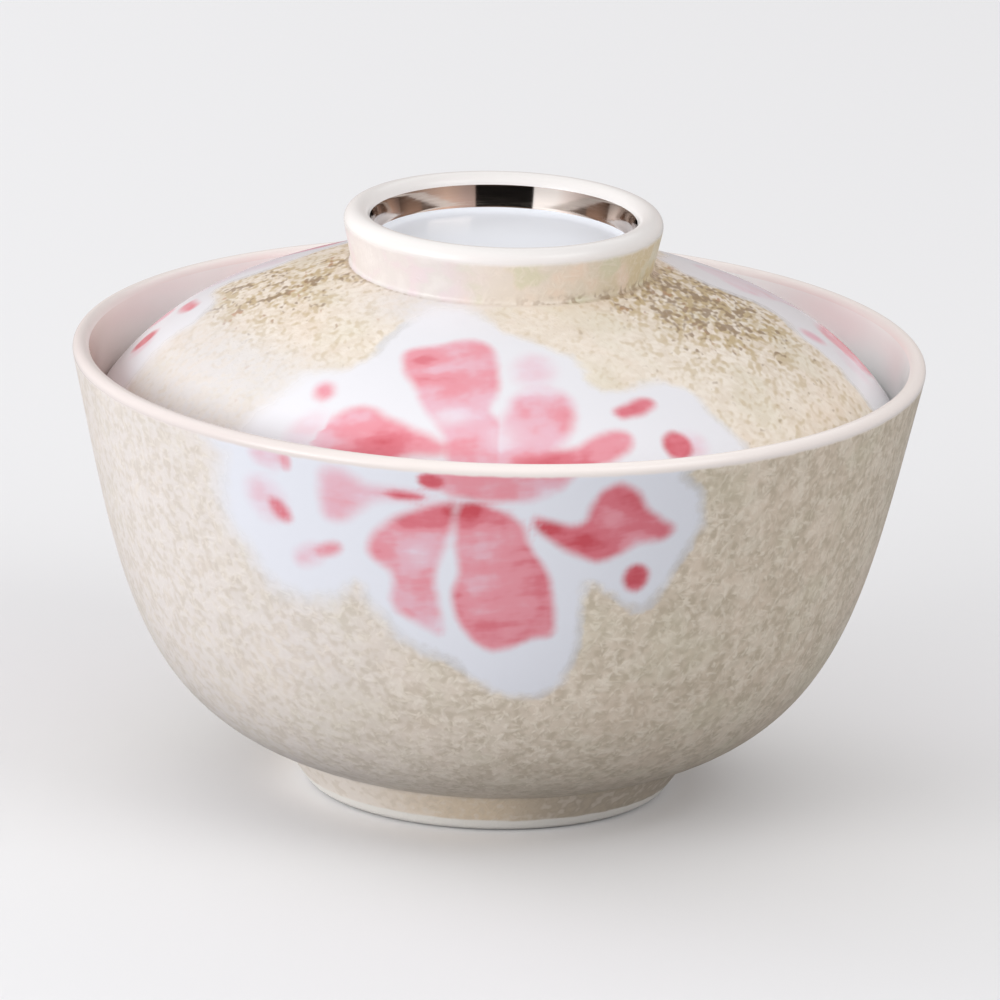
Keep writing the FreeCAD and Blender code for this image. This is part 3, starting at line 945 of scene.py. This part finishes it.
def speckled(brush, ground, colours, amount):
    """Gold and brown grains over the lid's ground.

    A grain shows where its noise is above a level, which falls as the amount grows. The amount
    gathers in clusters of about 5 mm, and the brown turns to rust in some wider patches.
    """
    clusters = brush.times(spread(brush, 4.6, shift=47.0, detail=0.0), 1.6)
    gathered = brush.plus(amount, brush.times(clusters, amount))
    level = brush.ease(gathered, 0.0, 1.0, start=0.62, end=0.45)
    gold = brush.ease(brush.minus(grainy(brush, 0.95, shift=21.0, deep=1.6), level), -0.09, 0.15)
    gold = brush.times(gold, brush.ease(amount, 0.05, 0.8, start=0.27, end=0.85))
    level = brush.ease(gathered, 0.3, 1.0, start=0.72, end=0.50)
    brown = brush.ease(brush.minus(grainy(brush, 0.86, shift=27.0, deep=1.7), level), -0.06, 0.12)
    brown = brush.times(brown, brush.ease(amount, 0.12, 0.5, start=0.28, end=0.82))
    rusty = brush.ease(brush.noise(brush.stretched(9.0, 9.0, 9.0, shift=31.0)), 0.54, 0.66)
    ground = brush.mix(gold, ground, colours.gold)
    return brush.mix(brown, ground, brush.mix(rusty, colours.speckle, colours.rust))


def knob_side(brush, colours, fleck, amount, thin, up_knob):
    """The knob's side: clouded beige, nearly white on the left (part white glaze, part painted
    sheen), and spotted at its root.
    """
    side = brush.mix(brush.ease(amount, 0.2, 0.9), colours.knob, colours.knob_warm)
    side = brush.mix(brush.ease(spread(brush, 8.0, shift=41.0), 0.0, 0.18), side, colours.peach)
    side = brush.mix(brush.ease(spread(brush, 7.0, shift=53.0), 0.02, 0.16), side, colours.olive)
    side = brush.mix(brush.times(fleck, 0.35), side, colours.lid_ground)
    # the knob's pale left: partly white glaze, partly painted sheen of the left lamps
    pale = mottled(brush, colours.knob_white_and_sheen, colours.petal_faint, colours.knob_lip, 4.0,
                   shift=57.0, amount=0.35)
    side = brush.mix(thin, side, pale)
    spots = brush.ease(grainy(brush, 0.9, shift=35.0), 0.46, 0.64)
    spots = brush.times(spots, brush.ease(up_knob, 2.4, 0.2, end=0.7))
    spots = brush.times(spots, brush.ease(amount, 0.08, 0.4))
    return brush.mix(spots, side, colours.speckle)


def painted_lid_glaze(colours):
    """Outside of the lid: speckled cream, white reserve, petals, and the knob's side and lip."""
    brush = Brush("lid_painted_glaze")
    thin = brush.stored("thin")
    amount = brush.stored("speckle")
    up_knob = brush.stored("up_knob")
    grain = grains(brush, 1.2, shift=4.0)
    fleck = dashes(brush, 2.3, 0.8, shift=6.0)
    shade = brush.mix(brush.ease(amount, 0.05, 0.6, start=0.35), colours.lid_ground,
                      colours.lid_shade)
    ground = brush.mix(grain, shade, colours.lid_ground)
    ground = mottled(brush, ground, colours.lid_shade, colours.lid_ground, 4.0,
                     shift=83.0, amount=0.36)
    ground = clouded(brush, ground, colours.peach, colours.olive, amount=0.3)
    ground = speckled(brush, ground, colours, amount)
    # painted sheen of the left lamps over the lid's ground, broken by the grain
    sheened = brush.times(thin, brush.ease(grain, 0.0, 1.0, start=0.75))
    ground = brush.mix(sheened, ground, colours.lid_sheen_ground)

    base, clear = left_white(brush, ground, colours.lid_reserve, colours.halo, shift=8.0)
    base = pigment(brush, base, colours)
    side = knob_side(brush, colours, fleck, amount, thin, up_knob)
    base = brush.mix(brush.ease(up_knob, *KNOB_ROOT), base, side)
    root_line = brush.ease(brush.math("ABSOLUTE", brush.minus(up_knob, 0.1)), 0.75, 0.1)
    root_line = brush.times(root_line, brush.ease(amount, 0.1, 0.7, start=0.08, end=0.35))
    base = brush.mix(root_line, base, colours.speckle)

    uneven = brush.times(spread(brush, 4.0, shift=12.0), 0.8)
    on_lip = brush.ease(brush.plus(up_knob, uneven), *KNOB_LIP_LINE)
    base = brush.mix(on_lip, base, colours.knob_lip)
    return brush.finish(base, skin(brush, fleck, brush.math("MAXIMUM", clear, on_lip), 0.36, 0.24))


def plain_glaze(name, tone, roughness=0.14, left=None):
    """Clear glaze over white body: faint clouding of the tone, and a barely uneven skin.

    With a left tone, the glaze drifts to it on the left, as the stored light of the left lamps
    says;
    for the bowl's inside that tone is painted shade with a painted pink reflection of the lid.
    """
    brush = Brush(name)
    cloud = brush.noise(brush.stretched(18.0, 18.0, 18.0, shift=1.0), detail=3.0)
    duller = [part * 0.95 for part in tone]
    brighter = [min(1.0, part * 1.04) for part in tone]
    base = brush.mix(cloud, duller, brighter)
    if left is not None:
        # painted shade and painted pink reflection on the glaze's left
        base = brush.mix(brush.ease(brush.stored("thin"), 0.0, 0.8), base, left)
    brush.bump(brush.noise(brush.stretched(5.0, 5.0, 5.0, shift=2.0)), 0.02)
    return brush.finish(base, roughness)


def bare_clay(name, tone):
    """Unglazed clay: matt, with a fine grain."""
    brush = Brush(name)
    grain = brush.noise(brush.stretched(0.5, 0.5, 0.5, shift=3.0), detail=4.0, roughness=0.7)
    brush.bump(grain, 0.05)
    darker = [part * 0.82 for part in tone]
    return brush.finish(brush.mix(grain, darker, tone), 0.8)


def platinum_lustre(name, tone, low, high):
    """Brushed-on metal: a mirror with faint brush lines, darker towards its top."""
    brush = Brush(name)
    lines = brush.noise(brush.stretched(6.0, 6.0, 0.35, shift=7.0))
    brush.bump(lines, 0.0012)
    duller = [part * 0.66 for part in tone]
    base = brush.mix(brush.ease(brush.height(), high, low), duller, tone)
    return brush.finish(base, brush.ease(lines, 0.3, 0.7, start=0.05, end=0.09), metallic=1.0)


def placed(name, data):
    """A new object for a mesh, a lamp or a camera, linked to the scene."""
    holder = bpy.data.objects.new(name, data)
    bpy.context.scene.collection.objects.link(holder)
    return holder


def glazed_piece(name, mesh, node):
    """Links a finished mesh as the piece that stands for one node of the solids."""
    piece = placed(name, mesh)
    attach(piece, "root")
    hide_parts(node)


class LIDDED_BOWL_OT_bowl(bpy.types.Operator):
    """Turn the bowl and paint it"""

    bl_idname = "lidded_bowl.bowl"
    bl_label = "Bowl"
    bl_options = {"REGISTER", "UNDO"}

    def execute(self, context):
        form = context.scene.bowl_form
        colours = context.scene.glaze_colours
        turned = Turned(bowl_outline(form))
        mesh = turned.mesh("painted_bowl", {
            "painted": painted_bowl_glaze(colours),
            # the inside's left tone is painted shade with a painted pink reflection
            "inside": plain_glaze("bowl_inside_glaze", colours.inside, left=colours.inside_shade_left),
            "glaze": plain_glaze("foot_recess_glaze", colours.lip),
            "bare": bare_clay("foot_bare_clay", colours.clay),
        })
        azimuth, run = turned.places()
        down = (turned.run[turned.start["lip"]] - run) / MM
        places = np.column_stack([BOWL_CHART_RADIUS * motif_turn(azimuth), -down])
        lay_painting(mesh, places, BOWL_MARKS, BOWL_POOLS, BOWL_RESERVE)
        store_value(mesh, "down_wall", down)
        # painted light of the left lamps: sheen on the ground, light on the foot, shade on lip and
        # inside
        store_value(mesh, "thin", bowl_left_light(azimuth, down))
        glazed_piece("painted_bowl", mesh, "bowl")
        return {"FINISHED"}


class LIDDED_BOWL_OT_lid(bpy.types.Operator):
    """Turn the lid with its ring knob and paint it"""

    bl_idname = "lidded_bowl.lid"
    bl_label = "Lid"
    bl_options = {"REGISTER", "UNDO"}

    def execute(self, context):
        form = context.scene.lid_form
        colours = context.scene.glaze_colours
        turned = Turned(lid_outline(form, context.scene.bowl_form))
        band_high = turned.outline[turned.start["ring inside"]][1] / MM
        band_low = turned.outline[turned.start["well corner"]][1] / MM
        mesh = turned.mesh("painted_lid", {
            "painted": painted_lid_glaze(colours),
            "inside": plain_glaze("lid_inside_glaze", colours.inside),
            "platinum": platinum_lustre("platinum_band", colours.platinum, band_low, band_high),
            "well": plain_glaze("knob_well_glaze", colours.well, roughness=0.34),
        })
        azimuth, run = turned.places()
        root = turned.outline[turned.start["crease"]][0] / MM
        up_knob = (run - turned.run[turned.start["crease"]]) / MM
        out = np.maximum(root - up_knob, 0.0)
        turn = motif_turn(azimuth)
        places = np.column_stack([out * np.sin(turn), -out * np.cos(turn)])
        lay_painting(mesh, places, LID_MARKS, LID_POOLS, LID_RESERVE, lid_fading(azimuth, out))
        store_value(mesh, "up_knob", up_knob)
        store_value(mesh, "speckle", lid_speckle(azimuth, out, up_knob))
        # painted sheen of the left lamps; on the knob's left, partly white glaze
        store_value(mesh, "thin", lid_left_light_and_white(azimuth, out, up_knob))
        glazed_piece("painted_lid", mesh, "lid")
        return {"FINISHED"}


def bell(azimuth, centre, width):
    """A bell curve round the axis, about one azimuth in degrees."""
    away = (azimuth - radians(centre) + pi) % (2.0 * pi) - pi
    return np.exp(-(away / radians(width)) ** 2)


def past(value, edge, softness):
    """Climbs from 0 to 1 as the value passes an edge."""
    return 1.0 / (1.0 + np.exp((edge - value) / softness))


def within(value, edge, softness):
    """Falls from 1 to 0 as the value passes an edge."""
    return past(-value, -edge, softness)


def bowl_left_light(azimuth, down):
    """Painted light of the left lamps: strongest on the bowl's left and under the blossom's left
    half.
    """
    low = bell(azimuth, -34.0, 26.0) * past(down, 22.0, 4.0) * within(down, 52.0, 4.0)
    return 0.85 * np.maximum(bell(azimuth, -62.0, 52.0), low)


def lid_left_light_and_white(azimuth, out, up_knob):
    """Painted sheen of the left lamps, low on the lid's left and beside the knob's root; on the
    knob's left, part white glaze and part painted sheen.
    """
    outer = bell(azimuth, -56.0, 36.0) * past(out, 50.5, 2.2)
    crown = bell(azimuth, -27.0, 24.0) * within(out, 35.0, 2.0)
    away = np.degrees((azimuth + pi) % (2.0 * pi) - pi)
    knob = within(away, -12.0, 4.0) * past(away, -128.0, 8.0)
    return 0.9 * np.where(up_knob > 0.0, knob, np.maximum(outer, crown))


def lid_fading(azimuth, out):
    """Pigment lost on the lid: from the right blossom's upper petal, and at the far left."""
    right = 0.6 * bell(azimuth, 110.0, 15.0) * within(out, 55.0, 2.0)
    return right + 0.42 * bell(azimuth, -113.0, 11.0)


def lid_speckle(azimuth, out, up_knob):
    """How thickly the lid is speckled: clouds near the knob, a little at the right, less in front.

    On the knob it grows towards the right.
    """
    clouds = [
        # strength, azimuth and width in degrees, outer edge and its softness in millimetres
        (0.75, 76.0, 24.0, 50.0, 3.0),
        (0.35, 50.0, 18.0, 33.0, 2.0),
        (0.45, -86.0, 27.0, 51.0, 3.0),
        (0.65, 181.0, 32.0, 48.0, 3.0),
    ]
    amount = 0.30 - 0.20 * bell(azimuth, 8.0, 34.0)
    amount += 0.07 * bell(azimuth, 60.0, 24.0) * past(out, 33.0, 3.0)
    for strength, centre, width, reach, softness in clouds:
        amount += strength * bell(azimuth, centre, width) * within(out, reach, softness)
    return np.where(up_knob > 0.0, 0.1 + 0.8 * bell(azimuth, 90.0, 60.0), amount)


MIDDLE_HEIGHT = 0.05         # metres up to the place that the lamps and the wall stand round
FLOOR_RETURN = 0.40          # share of its paleness that the floor shows to all but the camera
SENSOR_WIDTH = 36.0          # millimetres
LENS_RATIO = 5.673           # focal length in sensor widths, for each metre of distance

LAMPS = [
    # name, azimuth and elevation in degrees, distance and size in metres
    ("key", -50.0, 15.0, 1.3, 0.8),
    ("low", -58.0, 5.0, 1.3, 0.5),
    ("side", -125.0, 12.0, 1.3, 0.8),
    ("fill", 55.0, 34.0, 1.4, 0.9),
    ("rear", 165.0, 35.0, 1.4, 0.9),
]

TENT_STATIONS = np.array([
    # azimuth in degrees, and the red, green and blue light of the wall's lower part
    (-180, 0.47, 0.39, 0.37), (-130, 0.50, 0.43, 0.41), (-95, 0.60, 0.53, 0.50),
    (-80, 0.74, 0.66, 0.64), (-67, 1.06, 0.98, 0.97), (-55, 1.40, 1.36, 1.38),
    (-46, 1.60, 1.66, 1.72), (-26, 1.60, 1.66, 1.72), (-25, 0.0, 0.0, 0.0),
    (25, 0.0, 0.0, 0.0), (26, 0.62, 0.50, 0.46), (34, 0.70, 0.55, 0.51),
    (52, 1.00, 0.76, 0.64), (67, 0.82, 0.62, 0.53), (80, 0.62, 0.47, 0.40),
    (96, 0.50, 0.39, 0.34), (130, 0.44, 0.35, 0.31), (180, 0.47, 0.39, 0.37),
])
TENT_TOP = (0.34, 0.29, 0.27)         # light of the wall's upper part
TENT_TOP_FRONT = (0.66, 0.50, 0.42)   # the same over the dark gap in front
TENT_GAP = 25.5                       # half the width of that gap, in degrees
TENT_RISE = (-3.0, 14.0, 17.5, 21.0, 34.0)  # elevation of the wall's five rows, in degrees


class LIDDED_BOWL_OT_stage(bpy.types.Operator):
    """Set the floor, the lamps and the camera"""

    bl_idname = "lidded_bowl.stage"
    bl_label = "Studio"
    bl_options = {"REGISTER", "UNDO"}

    def execute(self, context):
        scene = context.scene
        studio = scene.studio
        scene.view_settings.view_transform = "Standard"
        add_floor(studio)
        for name, azimuth, elevation, distance, size in LAMPS:
            add_lamp(name, around(azimuth, elevation, distance), size, getattr(studio, name))
        add_tent_wall()
        set_world(scene, studio)
        add_camera(scene, studio)
        return {"FINISHED"}


def add_floor(studio):
    """A square of floor, paler to the camera than to the light that it sends back up."""
    half = studio.floor_width / 2.0
    mesh = bpy.data.meshes.new("studio_floor")
    corners = [(-half, -half, 0.0), (half, -half, 0.0), (half, half, 0.0), (-half, half, 0.0)]
    mesh.from_pydata(corners, [], [(0, 1, 2, 3)])
    brush = Brush("studio_floor")
    path = brush.tree.nodes.new("ShaderNodeLightPath")
    dim = [part * FLOOR_RETURN for part in studio.floor]
    tone = brush.mix(path.outputs["Is Camera Ray"], dim, studio.floor)
    mesh.materials.append(brush.finish(tone, 0.9))
    floor = placed("studio_floor", mesh)


def around(azimuth, elevation, distance):
    """A place seen from the middle of the bowl, at an azimuth and elevation in degrees."""
    turn, climb = radians(azimuth), radians(elevation)
    level = distance * cos(climb)
    return Vector((level * sin(turn), -level * cos(turn), MIDDLE_HEIGHT + distance * sin(climb)))


def add_lamp(name, place, size, watts):
    """A square soft lamp that faces the middle of the bowl."""
    lamp = bpy.data.lights.new(f"{name}_lamp", "AREA")
    lamp.size = size
    lamp.energy = watts
    holder = placed(f"{name}_lamp", lamp)
    holder.location = place
    aim = Vector((0.0, 0.0, MIDDLE_HEIGHT)) - place
    holder.rotation_euler = aim.to_track_quat("-Z", "Y").to_euler()


def add_tent_wall():
    """The wall of the light tent, a strip round the bowl that only the metal and the gloss show.

    Its lower part is dark in a gap in front, white to the left of that and coppery to the right.
    Its upper part is dim. Each vertex stores the light that the wall gives there.
    """
    turns = np.concatenate([np.arange(-180.0, 180.5, 2.0), TENT_STATIONS[:, 0]])
    turns = np.unique(np.round(turns, 3))
    columns = len(turns)
    lower = np.column_stack([np.interp(turns, TENT_STATIONS[:, 0], TENT_STATIONS[:, part])
                             for part in (1, 2, 3)])
    upper = np.where((np.abs(turns) < TENT_GAP)[:, None], TENT_TOP_FRONT, TENT_TOP)
    light = [lower, lower, 0.5 * (lower + upper), upper, upper]
    corners = [around(turn, climb, 1.0) for climb in TENT_RISE for turn in turns]
    first = (np.arange(len(light) - 1)[:, None] * columns + np.arange(columns - 1)).ravel()
    faces = np.column_stack([first, first + 1, first + columns + 1, first + columns]).tolist()
    mesh = bpy.data.meshes.new("tent_wall")
    mesh.from_pydata(corners, [], faces)
    store_vector(mesh, "light", np.vstack(light))
    brush = Brush("tent_wall")
    brush.put(brush.shader.inputs["Emission Color"], brush.stored("light", "Vector"))
    brush.shader.inputs["Emission Strength"].default_value = 1.0
    mesh.materials.append(brush.finish((0.0, 0.0, 0.0), 1.0))
    wall = placed("tent_wall", mesh)
    wall.visible_camera = False
    wall.visible_diffuse = False
    wall.visible_shadow = False
    wall.visible_transmission = False


def set_world(scene, studio):
    """Even light from all round, and white where the camera looks past the floor."""
    world = bpy.data.worlds.new("studio_world")
    world.use_nodes = True
    tree = world.node_tree
    background = tree.nodes["Background"]
    path = tree.nodes.new("ShaderNodeLightPath")
    strength = tree.nodes.new("ShaderNodeMapRange")
    strength.inputs["To Min"].default_value = studio.ambient
    strength.inputs["To Max"].default_value = 1.0
    tree.links.new(path.outputs["Is Camera Ray"], strength.inputs["Value"])
    tree.links.new(strength.outputs["Result"], background.inputs["Strength"])
    background.inputs["Color"].default_value = (1.0, 1.0, 1.0, 1.0)
    scene.world = world


def add_camera(scene, studio):
    """A long lens that looks down at the bowl from the front, tilted as the photograph is."""
    camera = bpy.data.cameras.new("camera")
    camera.sensor_width = SENSOR_WIDTH
    camera.lens = SENSOR_WIDTH * LENS_RATIO * studio.distance
    camera.clip_end = 50.0
    holder = placed("camera", camera)
    tilt = studio.elevation
    back = Vector((0.0, -cos(tilt), sin(tilt)))
    right = Vector((1.0, 0.0, 0.0))
    up = back.cross(right)
    aim = Vector((0.0, 0.0, studio.aim_height)) + right * studio.right + up * studio.up
    turned = Matrix((right, up, back)).transposed() @ Matrix.Rotation(studio.roll, 3, "Z")
    holder.matrix_world = Matrix.LocRotScale(aim + back * studio.distance, turned, None)
    scene.camera = holder


class VIEW3D_PT_lidded_bowl(bpy.types.Panel):
    """Lists the pieces and their measures"""

    bl_label = "Lidded Bowl"
    bl_space_type = "VIEW_3D"
    bl_region_type = "UI"
    bl_category = "Lidded Bowl"

    def draw(self, context):
        layout = self.layout
        scene = context.scene
        for operator, group in (("lidded_bowl.bowl", scene.bowl_form),
                                ("lidded_bowl.lid", scene.lid_form),
                                ("lidded_bowl.stage", scene.studio)):
            layout.operator(operator)
            for name in group.__annotations__:
                layout.prop(group, name)
        for name in scene.glaze_colours.__annotations__:
            layout.prop(scene.glaze_colours, name)


CLASSES = (
    BowlForm,
    LidForm,
    GlazeColours,
    StudioSetting,
    LIDDED_BOWL_OT_bowl,
    LIDDED_BOWL_OT_lid,
    LIDDED_BOWL_OT_stage,
    VIEW3D_PT_lidded_bowl,
)

SETTINGS = {
    "bowl_form": BowlForm,
    "lid_form": LidForm,
    "glaze_colours": GlazeColours,
    "studio": StudioSetting,
}


def register():
    for item in CLASSES:
        bpy.utils.register_class(item)
    for name, group in SETTINGS.items():
        setattr(bpy.types.Scene, name, bpy.props.PointerProperty(type=group))


def unregister():
    for name in SETTINGS:
        delattr(bpy.types.Scene, name)
    for item in reversed(CLASSES):
        bpy.utils.unregister_class(item)


def main():
    register()
    bpy.ops.lidded_bowl.stage()
    bpy.ops.lidded_bowl.bowl()
    bpy.ops.lidded_bowl.lid()


if __name__ == "__main__":
    main()
